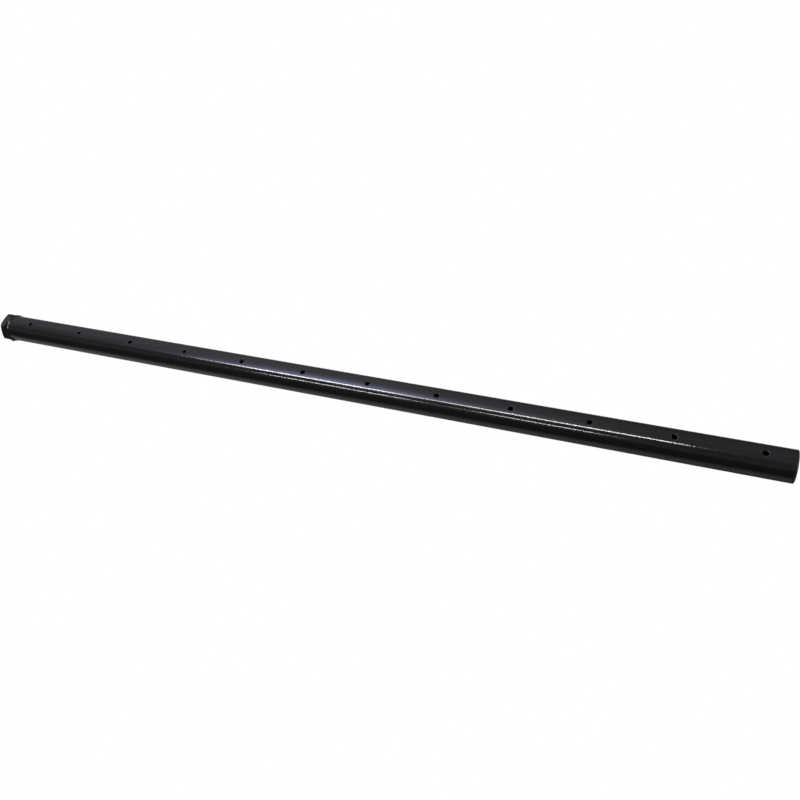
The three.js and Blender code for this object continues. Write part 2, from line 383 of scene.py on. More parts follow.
def make_thread(start_x, end_x):
    """A solid bar of screw thread, a little longer than asked so that both ends can be trimmed."""
    pitch = THREAD_PITCH
    root, crest = THREAD_ROOT_RADIUS, THREAD_CREST_RADIUS
    begin = start_x - 3 * pitch
    turns = math.ceil((end_x - start_x) / pitch) + 6
    thread = trace_outline([
        (begin, root),
        (begin + 0.12 * pitch, root),
        (begin + 0.45 * pitch, crest),
        (begin + 0.60 * pitch, crest),
        (begin + 0.93 * pitch, root),
        (begin + pitch, root),
    ])
    pick(thread)
    wind = thread.modifiers.new("wind", "SCREW")
    wind.axis = "X"
    wind.angle = FULL_TURN
    wind.screw_offset = pitch
    wind.iterations = turns
    wind.steps = THREAD_STEPS
    wind.render_steps = THREAD_STEPS
    wind.use_merge_vertices = True
    wind.merge_threshold = THREAD_MERGE
    bpy.ops.object.modifier_apply(modifier=wind.name)
    tidy_surface(thread)
    middle = (start_x + end_x) / 2
    for side in (-1, 1):
        bpy.ops.object.mode_set(mode="EDIT")
        bpy.ops.mesh.select_mode(type="VERT")
        bpy.ops.mesh.select_all(action="DESELECT")
        bpy.ops.mesh.select_non_manifold()
        bpy.ops.object.mode_set(mode="OBJECT")
        rim = {v.index for v in thread.data.vertices if v.select and (v.co.x - middle) * side > 0}
        for polygon in thread.data.polygons:
            polygon.select = False
        for edge in thread.data.edges:
            edge.select = edge.select and rim.issuperset(edge.vertices)
        for vertex in thread.data.vertices:
            vertex.select = vertex.index in rim
        bpy.ops.object.mode_set(mode="EDIT")
        bpy.ops.mesh.select_mode(type="EDGE")
        bpy.ops.mesh.extrude_region_move(TRANSFORM_OT_translate={"value": (0, 0, 0)})
        bpy.ops.mesh.merge(type="CENTER")
        bpy.ops.object.mode_set(mode="OBJECT")
    tidy_surface(thread)
    return thread


def make_jack_bolt():
    face_x = bolt_low.x
    tip_x = bolt_high.x
    clear_selection()
    bpy.ops.mesh.primitive_cylinder_add(
        vertices=6, radius=HEX_CORNER_RADIUS, depth=HEAD_THICKNESS,
        location=(face_x + HEAD_THICKNESS / 2, 0, 0), rotation=(0, math.pi / 2, 0))
    bolt = bpy.context.active_object
    bpy.ops.object.transform_apply(location=True, rotation=True, scale=True)
    if max(v.co.z for v in bolt.data.vertices) > max(v.co.y for v in bolt.data.vertices):
        bolt.rotation_euler = (math.pi / 6, 0, 0)
        bpy.ops.object.transform_apply(location=True, rotation=True, scale=True)
    round_edges(bolt, HEAD_EDGE_ROUND, 3, 30)
    over = HEX_CORNER_RADIUS + 0.1 * MM
    far_shoulder = (face_x, HEAD_CHAMFER_RADIUS)
    near_shoulder = (HEAD_BACK_X, HEAD_CHAMFER_RADIUS)
    far_slope = (face_x + HEAD_FAR_CHAMFER, over)
    near_slope = (HEAD_BACK_X - HEAD_NEAR_CHAMFER, over)
    turned_form = turn([
        (face_x, 0),
        *rounded_corner(far_shoulder, (face_x, 0), far_slope, 0.4 * MM),
        far_slope,
        near_slope,
        *rounded_corner(near_shoulder, near_slope, (HEAD_BACK_X, 0), 0.3 * MM),
        (HEAD_BACK_X, 0),
    ], HEAD_STEPS)
    combine(bolt, turned_form, "INTERSECT")
    thread = make_thread(HEAD_BACK_X, tip_x)
    start_x = HEAD_BACK_X - 3 * MM
    outside = THREAD_CREST_RADIUS + 0.05 * MM
    envelope = turn([
        (start_x, 0),
        (start_x, outside),
        (tip_x - TIP_CHAMFER, outside),
        (tip_x, THREAD_CREST_RADIUS - TIP_CHAMFER),
        (tip_x, 0),
    ], ROUND_STEPS)
    combine(thread, envelope, "INTERSECT")
    neck_start = HEAD_BACK_X - 4 * MM
    neck_end = HEAD_BACK_X + THREAD_RUNOUT
    neck_radius = THREAD_CREST_RADIUS - 0.15 * MM
    neck = turn([
        (neck_start, 0),
        (neck_start, neck_radius),
        (neck_end - 1 * MM, neck_radius),
        (neck_end, THREAD_ROOT_RADIUS),
        (neck_end, 0),
    ], ROUND_STEPS)
    combine(thread, neck, "UNION")
    combine(bolt, thread, "UNION")
    groove = (ring_high.z - ring_low.z) / 2 + RING_ROOM
    bore = turn([
        (face_x - 1 * MM, 0),
        (face_x - 1 * MM, PIN_SOCKET_RADIUS + PIN_SOCKET_FLARE),
        (face_x + 0.4 * MM, PIN_SOCKET_RADIUS),
        (ring_low.x - RING_ROOM, PIN_SOCKET_RADIUS),
        (ring_low.x - RING_ROOM, groove),
        (ring_high.x + RING_ROOM, groove),
        (ring_high.x + RING_ROOM, PIN_SOCKET_RADIUS),
        (face_x + PIN_SOCKET_DEPTH, PIN_SOCKET_RADIUS),
        (face_x + PIN_SOCKET_POINT, 0),
    ], SOCKET_STEPS)
    combine(bolt, bore, "DIFFERENCE")
    smooth(bolt, 30)
    return settle(bolt, "hex_jack_bolt")


def make_pad():
    radius = (pad_high.z - pad_low.z) / 2
    recess = (pin_high.z - pin_low.z) / 2 + PAD_PIN_ROOM
    floor_x = pin_low.x - PAD_PIN_ROOM
    hollow_x = pad_low.x + PAD_RIB_HEIGHT
    outline = [(hollow_x, 0)]
    for ring_radius in PAD_RING_RADII:
        outline += [
            (hollow_x, ring_radius - 0.9 * MM),
            (pad_low.x, ring_radius - 0.5 * MM),
            (pad_low.x, ring_radius + 0.9 * MM),
            (hollow_x, ring_radius + 1.3 * MM),
        ]
    outline += [
        (pad_low.x, 11.6 * MM),
        *rounded_corner((pad_low.x, radius), (pad_low.x, 0), (pad_high.x, radius), 1.1 * MM, 6),
        *rounded_corner((pad_high.x, radius), (pad_low.x, radius), (pad_high.x, 0), 0.4 * MM),
        (pad_high.x, recess),
        (floor_x, recess),
        (floor_x, 0),
    ]
    pad = turn(outline, PAD_STEPS)
    smooth(pad)
    return settle(pad, "rubber_foot_pad")


def make_pin():
    flange = (pin_high.z - pin_low.z) / 2
    stem = PIN_STEM_RADIUS
    back = pin_low.x + PIN_FLANGE_THICKNESS
    groove_start = ring_low.x - PIN_GROOVE_ROOM
    groove_end = ring_high.x + PIN_GROOVE_ROOM
    pin = turn([
        (pin_low.x, 0),
        (pin_low.x, flange - PIN_SMALL_CHAMFER),
        (pin_low.x + PIN_SMALL_CHAMFER, flange),
        (back - PIN_SMALL_CHAMFER, flange),
        (back, flange - PIN_SMALL_CHAMFER),
        (back, stem + 0.4 * MM),
        (back + 0.4 * MM, stem),
        (groove_start, stem),
        (groove_start, PIN_GROOVE_RADIUS),
        (groove_end, PIN_GROOVE_RADIUS),
        (groove_end, stem),
        (pin_high.x - PIN_TIP_CHAMFER, stem),
        (pin_high.x, stem - PIN_TIP_CHAMFER),
        (pin_high.x, 0),
    ], ROUND_STEPS)
    smooth(pin, 25)
    return settle(pin, "pad_pivot_pin")


def make_ring():
    outer = (ring_high.z - ring_low.z) / 2
    inner = RING_INNER_RADIUS
    edge = RING_EDGE
    ring = turn([
        (ring_low.x, inner + edge),
        (ring_low.x, outer - edge),
        (ring_low.x + edge, outer),
        (ring_high.x - edge, outer),
        (ring_high.x, outer - edge),
        (ring_high.x, inner + edge),
        (ring_high.x - edge, inner),
        (ring_low.x + edge, inner),
    ], RING_STEPS)
    clear_selection()
    bpy.ops.mesh.primitive_cube_add(size=1, location=(ring_low.x, SAW_SIZE, 0))
    saw = bpy.context.active_object
    saw.scale = (SAW_SIZE, SAW_SIZE, RING_GAP)
    combine(ring, saw, "DIFFERENCE")
    smooth(ring, 25)
    return settle(ring, "snap_ring")


def make_plug():
    face = plug_high.x
    back = face - PLUG_FLANGE
    body = BORE_RADIUS - 1.3 * MM
    rib = BORE_RADIUS - 0.05 * MM
    hollow_end = back - 1.3 * MM
    outline = [
        (face - PLUG_DISH_DEPTH, 0),
        (face - PLUG_DISH_DEPTH, 10.6 * MM),
        (face - 0.1 * MM, 11.2 * MM),
        (face, 11.6 * MM),
        *rounded_corner((face, TUBE_RADIUS), (face, 0), (back, TUBE_RADIUS), 0.9 * MM, 6),
        (back, TUBE_RADIUS),
        (back, body),
    ]
    for i in range(1, PLUG_RIBS + 1):
        crest = back - i * PLUG_RIB_PITCH
        outline += [
            (crest + 1.3 * MM, body),
            (crest + 0.6 * MM, rib),
            (crest + 0.2 * MM, rib),
            (crest - 0.8 * MM, body),
        ]
    outline += [
        (plug_low.x + 1 * MM, body),
        (plug_low.x, body - 0.8 * MM),
        (plug_low.x, body - PLUG_WALL),
        (hollow_end, body - PLUG_WALL),
        (hollow_end, 0),
    ]
    plug = turn(outline, PLUG_STEPS)
    smooth(plug, 28)
    return settle(plug, "ribbed_end_plug")


# --------------------------------------------------------- shared finishes

def new_group(name, inputs, outputs):
    group = bpy.data.node_groups.new(name, "ShaderNodeTree")
    for label, kind, value in inputs:
        socket = group.interface.new_socket(label, in_out="INPUT", socket_type=kind)
        if value is not None:
            socket.default_value = value
    for label, kind in outputs:
        group.interface.new_socket(label, in_out="OUTPUT", socket_type=kind)
    return group, group.nodes.new("NodeGroupInput"), group.nodes.new("NodeGroupOutput")


def node(tree, kind, **settings):
    made = tree.nodes.new(kind)
    for key, value in settings.items():
        setattr(made, key, value)
    return made


def calculate(tree, operation, a, b=None, c=None):
    made = node(tree, "ShaderNodeMath", operation=operation)
    for socket, value in zip(made.inputs, (a, b, c)):
        if value is None:
            continue
        if isinstance(value, (int, float)):
            socket.default_value = value
        else:
            tree.links.new(value, socket)
    return made.outputs[0]


def spread(tree, value, low, high, to_low=0.0, to_high=1.0):
    made = node(tree, "ShaderNodeMapRange", clamp=True)
    for label, number in (("From Min", low), ("From Max", high), ("To Min", to_low), ("To Max", to_high)):
        if isinstance(number, (int, float)):
            made.inputs[label].default_value = number
        else:
            tree.links.new(number, made.inputs[label])
    tree.links.new(value, made.inputs["Value"])
    return made.outputs["Result"]


def noise(tree, place, scale, detail=3.0, roughness=0.5, stretch=None):
    if stretch:
        mapping = node(tree, "ShaderNodeMapping")
        mapping.inputs["Scale"].default_value = stretch
        tree.links.new(place, mapping.inputs["Vector"])
        place = mapping.outputs["Vector"]
    made = node(tree, "ShaderNodeTexNoise")
    tree.links.new(place, made.inputs["Vector"])
    if isinstance(scale, (int, float)):
        made.inputs["Scale"].default_value = scale
    else:
        tree.links.new(scale, made.inputs["Scale"])
    made.inputs["Detail"].default_value = detail
    made.inputs["Roughness"].default_value = roughness
    return made.outputs["Fac"]


def mix_colour(tree, mask, a, b):
    made = node(tree, "ShaderNodeMix", data_type="RGBA")
    factor, first, second = made.inputs[0], made.inputs[6], made.inputs[7]
    if isinstance(mask, (int, float)):
        factor.default_value = mask
    else:
        tree.links.new(mask, factor)
    for socket, value in ((first, a), (second, b)):
        if isinstance(value, tuple):
            socket.default_value = (*value, 1)
        else:
            tree.links.new(value, socket)
    return made.outputs[2]


def build_orange_peel():
    """Sprayed paint's skin: soft round dimples over a slow ripple. Puts out a height and a gloss loss."""
    group, given, out = new_group("orange_peel", [
        ("Place", "NodeSocketVector", None),
        ("Dimple Scale", "NodeSocketFloat", 560.0),
        ("Ripple Scale", "NodeSocketFloat", 90.0),
        ("Ripple Share", "NodeSocketFloat", 0.2),
    ], [("Height", "NodeSocketFloat"), ("Gloss Loss", "NodeSocketFloat")])
    dimples = noise(group, given.outputs["Place"], given.outputs["Dimple Scale"], 1.5, 0.4)
    ripple = noise(group, given.outputs["Place"], given.outputs["Ripple Scale"], 2.0, 0.5)
    height = calculate(group, "MULTIPLY_ADD", ripple, given.outputs["Ripple Share"], dimples)
    patchy = noise(group, given.outputs["Place"], 14.0, 4.0, 0.6)
    group.links.new(height, out.inputs["Height"])
    group.links.new(spread(group, patchy, 0.42, 0.75), out.inputs["Gloss Loss"])
    return group


def build_dust():
    """Fine settled specks, thicker on upward faces. Puts out a mask."""
    group, given, out = new_group("settled_dust", [
        ("Place", "NodeSocketVector", None),
        ("Speck Scale", "NodeSocketFloat", 700.0),
        ("Amount", "NodeSocketFloat", 0.25),
    ], [("Mask", "NodeSocketFloat")])
    specks = noise(group, given.outputs["Place"], given.outputs["Speck Scale"], 2.0, 0.7)
    clouds = noise(group, given.outputs["Place"], 22.0, 4.0, 0.55)
    split = node(group, "ShaderNodeSeparateXYZ")
    group.links.new(given.outputs["Place"], split.inputs[0])
    upward = spread(group, split.outputs["Z"], 0.1 * TUBE_RADIUS, TUBE_RADIUS)
    fine = spread(group, specks, 0.60, 0.74)
    cloudy = spread(group, clouds, 0.45, 0.8)
    thickest = calculate(group, "MAXIMUM", fine, calculate(group, "MULTIPLY", cloudy, 0.4))
    settled = calculate(group, "MULTIPLY", thickest, upward)
    group.links.new(calculate(group, "MULTIPLY", settled, given.outputs["Amount"]), out.inputs["Mask"])
    return group


def build_scuffs():
    """Light handling marks: thin broken lines along the bar. Puts out a mask."""
    group, given, out = new_group("handling_scuffs", [
        ("Place", "NodeSocketVector", None),
        ("Line Scale", "NodeSocketFloat", 60.0),
        ("Amount", "NodeSocketFloat", 0.3),
    ], [("Mask", "NodeSocketFloat")])
    lines = noise(group, given.outputs["Place"], given.outputs["Line Scale"], 4.0, 0.75, (0.35, 9.0, 9.0))
    breaks = noise(group, given.outputs["Place"], 18.0, 3.0, 0.6)
    thin = spread(group, lines, 0.68, 0.74)
    broken = spread(group, breaks, 0.5, 0.68)
    group.links.new(
        calculate(group, "MULTIPLY", calculate(group, "MULTIPLY", thin, broken), given.outputs["Amount"]),
        out.inputs["Mask"])
    return group


def build_rub():
    """Rubbing where a mask says an edge is, broken up so that it is never an even line."""
    group, given, out = new_group("rubbed_edge", [
        ("Place", "NodeSocketVector", None),
        ("Edge", "NodeSocketFloat", 0.0),
        ("Amount", "NodeSocketFloat", 0.5),
    ], [("Mask", "NodeSocketFloat")])
    bites = noise(group, given.outputs["Place"], 420.0, 4.0, 0.65)
    patches = noise(group, given.outputs["Place"], 60.0, 3.0, 0.5)
    rough = calculate(group, "MULTIPLY_ADD", patches, 0.6, calculate(group, "MULTIPLY", bites, 0.6))
    reach = calculate(group, "MULTIPLY", given.outputs["Edge"], given.outputs["Amount"])
    worn = calculate(group, "SUBTRACT", calculate(group, "ADD", rough, reach), 1.0)
    group.links.new(spread(group, worn, 0.0, 0.12), out.inputs["Mask"])
    return group


ORANGE_PEEL = build_orange_peel()
DUST = build_dust()
SCUFFS = build_scuffs()
RUB = build_rub()


def place_group(tree, group, place, **values):
    made = node(tree, "ShaderNodeGroup", node_tree=group)
    tree.links.new(place, made.inputs["Place"])
    for label, value in values.items():
        socket = made.inputs[label.replace("_", " ").title()]
        if isinstance(value, (int, float)):
            socket.default_value = value
        else:
            tree.links.new(value, socket)
    return made.outputs


def start_material(name):
    material = bpy.data.materials.new(name)
    material.use_nodes = True
    tree = material.node_tree
    tree.nodes.clear()
    surface = node(tree, "ShaderNodeBsdfPrincipled")
    end = node(tree, "ShaderNodeOutputMaterial")
    tree.links.new(surface.outputs[0], end.inputs["Surface"])
    place = node(tree, "ShaderNodeTexCoord").outputs["Object"]
    return material, tree, surface, place


def emboss(tree, surface, height, strength, distance):
    bump = node(tree, "ShaderNodeBump")
    bump.inputs["Strength"].default_value = strength
    bump.inputs["Distance"].default_value = distance
    tree.links.new(height, bump.inputs["Height"])
    tree.links.new(bump.outputs["Normal"], surface.inputs["Normal"])


def radius_from_axis(tree, place):
    split = node(tree, "ShaderNodeSeparateXYZ")
    tree.links.new(place, split.inputs[0])
    y2 = calculate(tree, "MULTIPLY", split.outputs["Y"], split.outputs["Y"])
    z2 = calculate(tree, "MULTIPLY", split.outputs["Z"], split.outputs["Z"])
    return split.outputs["X"], split.outputs["Y"], calculate(tree, "SQRT", calculate(tree, "ADD", y2, z2))


def hole_rims(tree, along, across):
    """1 at the rims of the cross holes, falling to 0 a little way off."""
    steps = calculate(tree, "DIVIDE", calculate(tree, "SUBTRACT", along, FIRST_HOLE_X), HOLE_PITCH)
    nearest = calculate(tree, "SUBTRACT", steps, calculate(tree, "ROUND", steps))
    off_x = calculate(tree, "MULTIPLY", nearest, HOLE_PITCH)
    squared = calculate(tree, "MULTIPLY_ADD", off_x, off_x, calculate(tree, "MULTIPLY", across, across))
    distance = calculate(tree, "SQRT", squared)
    return spread(tree, distance, HOLE_RADIUS + 0.1 * MM, HOLE_RADIUS + 1.0 * MM, 1.0, 0.0)


def end_rims(tree, along, low, high, reach):
    near_low = spread(tree, along, low, low + reach, 1.0, 0.0)
    near_high = spread(tree, along, high - reach, high, 0.0, 1.0)
    return calculate(tree, "MAXIMUM", near_low, near_high)


BLACK = (0.0066, 0.0062, 0.0058)
BLACK_WARM = (0.0078, 0.0072, 0.0064)
DUST_GREY = (0.16, 0.155, 0.145)
PRIMER_GREY = (0.09, 0.09, 0.095)
BARE_STEEL = (0.42, 0.42, 0.43)
TURNED_STEEL = (0.36, 0.36, 0.37)
SPRING_STEEL = (0.16, 0.16, 0.17)
SPRING_STEEL_BRIGHT = (0.3, 0.3, 0.31)
OILED_STEEL = (0.018, 0.017, 0.016)
OILED_STEEL_CREST = (0.11, 0.105, 0.10)
RUBBER_DARK = (0.014, 0.014, 0.014)
RUBBER_PALE = (0.028, 0.027, 0.026)
PLASTIC_DARK = (0.010, 0.010, 0.0105)
PLASTIC_PALE = (0.017, 0.017, 0.018)
PLASTIC_SCUFF = (0.07, 0.07, 0.07)
PEEL_DEPTH = 0.12 * MM
PAINT_IOR = 1.5
TUBE_RUB_REACH = 1.2 * MM
BUSH_RUB_REACH = 0.8 * MM
HEAD_RUB_REACH = 0.9 * MM


def gloss_paint(name, base_rough, peel_strength, edge_of):
    """Black gloss paint over steel; edge_of draws where the paint is thin."""
    material, tree, surface, place = start_material(name)
    peel = place_group(tree, ORANGE_PEEL, place)
    dust = place_group(tree, DUST, place, amount=0.16)["Mask"]
    scuffs = place_group(tree, SCUFFS, place, amount=0.35)["Mask"]
    rub = place_group(tree, RUB, place, edge=edge_of(tree, place), amount=0.5)["Mask"]
    tone = mix_colour(tree, noise(tree, place, 26.0, 4.0, 0.6), BLACK, BLACK_WARM)
    scuffed = mix_colour(tree, calculate(tree, "MULTIPLY", scuffs, 0.25), tone, PRIMER_GREY)
    rubbed = mix_colour(tree, rub, scuffed, PRIMER_GREY)
    tree.links.new(mix_colour(tree, calculate(tree, "MULTIPLY", dust, 0.22), rubbed, DUST_GREY),
                   surface.inputs["Base Color"])
    rough = calculate(tree, "MULTIPLY_ADD", peel["Gloss Loss"], 0.06, base_rough)
    rough = calculate(tree, "MULTIPLY_ADD", scuffs, 0.18, rough)
    rough = calculate(tree, "MULTIPLY_ADD", rub, 0.25, rough)
    rough = calculate(tree, "MULTIPLY_ADD", dust, 0.3, rough)
    tree.links.new(rough, surface.inputs["Roughness"])
    emboss(tree, surface, peel["Height"], peel_strength, PEEL_DEPTH)
    surface.inputs["IOR"].default_value = PAINT_IOR
    return material


def tube_edges(tree, place):
    along, across, _ = radius_from_axis(tree, place)
    ends = end_rims(tree, along, tube_low.x, tube_high.x, TUBE_RUB_REACH)
    return calculate(tree, "MAXIMUM", ends, hole_rims(tree, along, across))


def bush_edges(tree, place):
    along, _, radius = radius_from_axis(tree, place)
    ends = end_rims(tree, along, bush_low.x, bush_high.x, BUSH_RUB_REACH)
    return calculate(tree, "MULTIPLY", ends, spread(tree, radius, 15 * MM, TUBE_RADIUS))


def bead_edges(tree, place):
    _, _, radius = radius_from_axis(tree, place)
    return spread(tree, radius, TUBE_RADIUS + BEAD_CREST_HEIGHT, TUBE_RADIUS + 2.15 * MM)


def head_edges(tree, place):
    along, _, radius = radius_from_axis(tree, place)
    corners = spread(tree, radius, HEX_CORNER_RADIUS - 1.4 * MM, HEX_CORNER_RADIUS)
    faces = end_rims(tree, along, bolt_low.x, HEAD_BACK_X, HEAD_RUB_REACH)
    outer = spread(tree, radius, HEAD_CHAMFER_RADIUS - 2.5 * MM, HEAD_CHAMFER_RADIUS)
    return calculate(tree, "MAXIMUM", corners, calculate(tree, "MULTIPLY", faces, outer))


def bolt_finish():
    """The head is painted with the bar; the thread behind it is oiled black steel."""
    material, tree, surface, place = start_material("painted_jack_bolt")
    along, _, radius = radius_from_axis(tree, place)
    peel = place_group(tree, ORANGE_PEEL, place, dimple_scale=420.0)
    dust = place_group(tree, DUST, place, amount=0.15)["Mask"]
    rub = place_group(tree, RUB, place, edge=head_edges(tree, place), amount=0.62)["Mask"]
    is_thread = spread(tree, along, HEAD_BACK_X + 0.1 * MM, HEAD_BACK_X + 0.9 * MM)
    grain = noise(tree, place, 160.0, 4.0, 0.6)
    crest = spread(tree, radius, THREAD_ROOT_RADIUS, THREAD_CREST_RADIUS)
    oily = mix_colour(tree, calculate(tree, "MULTIPLY", crest, grain), OILED_STEEL, OILED_STEEL_CREST)
    paint = mix_colour(tree, grain, BLACK, BLACK_WARM)
    paint = mix_colour(tree, rub, paint, PRIMER_GREY)
    paint = mix_colour(tree, calculate(tree, "MULTIPLY", dust, 0.2), paint, DUST_GREY)
    tree.links.new(mix_colour(tree, is_thread, paint, oily), surface.inputs["Base Color"])
    paint_rough = calculate(tree, "MULTIPLY_ADD", grain, 0.1, 0.2)
    head_rough = calculate(tree, "MULTIPLY_ADD", rub, 0.25, paint_rough)
    thread_rough = calculate(tree, "MULTIPLY_ADD", grain, 0.25, 0.26)
    rough = spread(tree, is_thread, 0.0, 1.0, head_rough, thread_rough)
    tree.links.new(rough, surface.inputs["Roughness"])
    tree.links.new(calculate(tree, "MULTIPLY", is_thread, 0.85), surface.inputs["Metallic"])
    emboss(tree, surface, peel["Height"], 0.5, PEEL_DEPTH)
    return material


def rubber_finish():
    material, tree, surface, place = start_material("moulded_rubber")
    dust = place_group(tree, DUST, place, amount=0.4)["Mask"]
    pores = noise(tree, place, 900.0, 3.0, 0.6)
    blotches = noise(tree, place, 120.0, 4.0, 0.6)
    tone = mix_colour(tree, blotches, RUBBER_DARK, RUBBER_PALE)
    tree.links.new(mix_colour(tree, calculate(tree, "MULTIPLY", dust, 0.4), tone, DUST_GREY),
                   surface.inputs["Base Color"])
    tree.links.new(calculate(tree, "MULTIPLY_ADD", blotches, 0.2, 0.62), surface.inputs["Roughness"])
    emboss(tree, surface, calculate(tree, "MULTIPLY_ADD", blotches, 0.5, pores), 0.5, 0.1 * MM)
    return material


def plug_finish():
    material, tree, surface, place = start_material("moulded_black_plastic")
    dust = place_group(tree, DUST, place, amount=0.3)["Mask"]
    scuffs = place_group(tree, SCUFFS, place, line_scale=140.0, amount=0.5)["Mask"]
    spark = noise(tree, place, 1400.0, 2.0, 0.5)
    flow = noise(tree, place, 70.0, 3.0, 0.5)
    tone = mix_colour(tree, flow, PLASTIC_DARK, PLASTIC_PALE)
    tone = mix_colour(tree, calculate(tree, "MULTIPLY", scuffs, 0.4), tone, PLASTIC_SCUFF)
    tree.links.new(mix_colour(tree, calculate(tree, "MULTIPLY", dust, 0.3), tone, DUST_GREY),
                   surface.inputs["Base Color"])
    rough = calculate(tree, "MULTIPLY_ADD", scuffs, 0.2, calculate(tree, "MULTIPLY_ADD", flow, 0.12, 0.36))
    tree.links.new(rough, surface.inputs["Roughness"])
    emboss(tree, surface, spark, 0.25, 0.05 * MM)
    return material


def steel_finish(name, tone, bright, base_rough):
    """Turned steel: rings left by the tool round the X axis, with small stains."""
    material, tree, surface, place = start_material(name)
    stains = noise(tree, place, 240.0, 4.0, 0.6)
    rings = noise(tree, place, 90.0, 5.0, 0.7, (60.0, 1.0, 1.0))
    tree.links.new(mix_colour(tree, stains, tone, bright), surface.inputs["Base Color"])
    tree.links.new(calculate(tree, "MULTIPLY_ADD", rings, 0.22, base_rough), surface.inputs["Roughness"])
    surface.inputs["Metallic"].default_value = 1.0
    emboss(tree, surface, rings, 0.3, 0.03 * MM)
    return material


# ---------------------------------------------------------------- assembly

def dress(piece, material, body, replaced):
    piece.data.materials.clear()
    piece.data.materials.append(material)
    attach(piece, body)
    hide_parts(replaced)


dress(make_tube(), gloss_paint("gloss_black_tube", base_rough=0.085, peel_strength=0.33, edge_of=tube_edges),
      "bar", "main_tube")
dress(make_bush(), gloss_paint("gloss_black_bush", base_rough=0.17, peel_strength=0.5, edge_of=bush_edges),
      "bar", "threaded_bush")
dress(make_weld(), gloss_paint("gloss_black_weld", base_rough=0.2, peel_strength=0.8, edge_of=bead_edges),
      "bar", "weld_bead")
dress(make_jack_bolt(), bolt_finish(), "jack", "jack_bolt")
dress(make_pad(), rubber_finish(), "foot", "foot_pad")
dress(make_pin(), steel_finish("turned_pin_steel", TURNED_STEEL, BARE_STEEL, base_rough=0.2),
      "foot", "pad_pin")
dress(make_ring(), steel_finish("spring_steel", SPRING_STEEL, SPRING_STEEL_BRIGHT, base_rough=0.28),
      "foot", "pin_ring")
dress(make_plug(), plug_finish(), "bar", "end_plug")


# ------------------------------------------------------- floor, light, camera

FLOOR_DROP = 0.32
FLOOR_SIZE = 40
LAMP_DISTANCE = 1.5
UPPER_STRIP_ANGLE = 75.5
LOWER_STRIP_ANGLE = 46
STRIP_WIDTH = 0.11
LOW_STRIP_WIDTH = 0.05
GLOW_COLOUR = (0.82, 0.83, 1.35)
GLOW_STRENGTH = 4.6
GLOW_ALONG = (-0.42, 0.085)
GLOW_ROUND = (76, 19)
HAZE_STRENGTH = 0.85
HAZE_ALONG = (-0.2, 0.075)
HAZE_ROUND = (91, 12)
ROOM_COLOUR = (0.93, 0.96, 1.09)
ROOM_BY_ANGLE = [
    (8, 0.04), (26, 0.18), (43, 0.18), (64, 0.12), (78, 0.25), (93, 0.40), (107, 0.48),
    (121, 0.76), (142, 0.6), (166, 0.42), (180, 0.36)]
BELOW_FLOOR_LINE = 0.2
# Black that paints shade into the floor far in front of and far behind the bar.
UNLIT = (0.0, 0.0, 0.0)
# Floor greys seen in reflections and bounce light: a painted shadow under the bar, darker to the right as
# painted shade, paler beside it.
FLOOR_PAINTED_SHADOW_LEFT = (0.29, 0.272, 0.235)
FLOOR_PAINTED_SHADOW_LEFT_PALE = (0.33, 0.31, 0.27)
FLOOR_PAINTED_SHADE_RIGHT = (0.14, 0.131, 0.112)
FLOOR_PAINTED_SHADE_RIGHT_PALE = (0.16, 0.15, 0.128)
FLOOR_BESIDE = (0.40, 0.378, 0.325)
# The card's black is a painted dark reflection on the tube's front.
CARD_COLOUR = (0.068, 0.065, 0.06)
CARD_LENGTH = 6.0
CARD_HEIGHT = 0.45
CARD_PLACE = (0, -0.5, 0.055)
CAMERA_PLACE = (0.46088, -0.48894, 0.86053)
CAMERA_TURN = (33.0226, 11.6279, 18.8573)
CAMERA_LENS = 34.656
SENSOR_WIDTH = 36


def make_floor():
    """A floor that is plain white to the eye. In reflections and bounce light it is a pale, slightly warm
    grey with painted shade: a painted shadow under the bar that darkens towards +X, and painted black far in
    front and far behind.
    """
    clear_selection()
    bpy.ops.mesh.primitive_plane_add(size=FLOOR_SIZE, location=(0, 0, tube_low.z - FLOOR_DROP))
    floor = bpy.context.active_object
    floor.name = "studio_floor"
    material, tree, surface, place = start_material("pale_floor_painted_shade")
    end = tree.get_output_node("ALL")
    along, across, _ = radius_from_axis(tree, place)
    cloudy = noise(tree, place, 3.0, 3.0, 0.5)
    # Painted shadow of the bar on the floor, darker towards +X as painted shade; the noise only varies its
    # tone.
    left = mix_colour(tree, cloudy, FLOOR_PAINTED_SHADOW_LEFT, FLOOR_PAINTED_SHADOW_LEFT_PALE)
    right = mix_colour(tree, cloudy, FLOOR_PAINTED_SHADE_RIGHT, FLOOR_PAINTED_SHADE_RIGHT_PALE)
    painted_shadow_under_bar = mix_colour(tree, spread(tree, along, -0.1, 0.5), left, right)
    # Paler beside the bar, outside the painted shadow.
    beside = spread(tree, calculate(tree, "ABSOLUTE", across), 0.05, 0.35)
    grey = mix_colour(tree, beside, painted_shadow_under_bar, FLOOR_BESIDE)
    # Painted shade: black far behind the bar, more of it towards +X, and far in front.
    painted_shade_behind = spread(tree, across, 0.5, 0.9)
    shade = calculate(tree, "MULTIPLY", painted_shade_behind, spread(tree, along, -1.5, 0.5, 0.0, 0.65))
    grey = mix_colour(tree, shade, grey, UNLIT)
    painted_shade_in_front = spread(tree, across, -0.75, -0.45, 0.7, 0.0)
    tree.links.new(mix_colour(tree, painted_shade_in_front, grey, UNLIT), surface.inputs["Base Color"])
    surface.inputs["Roughness"].default_value = 0.9
    surface.inputs["Specular IOR Level"].default_value = 0.1
    white = node(tree, "ShaderNodeEmission")
    white.inputs["Color"].default_value = (1, 1, 1, 1)
    choose = node(tree, "ShaderNodeMixShader")
    tree.links.new(node(tree, "ShaderNodeLightPath").outputs["Is Camera Ray"], choose.inputs[0])
    tree.links.new(surface.outputs[0], choose.inputs[1])
    tree.links.new(white.outputs[0], choose.inputs[2])
    tree.links.new(choose.outputs[0], end.inputs["Surface"])
    floor.data.materials.append(material)


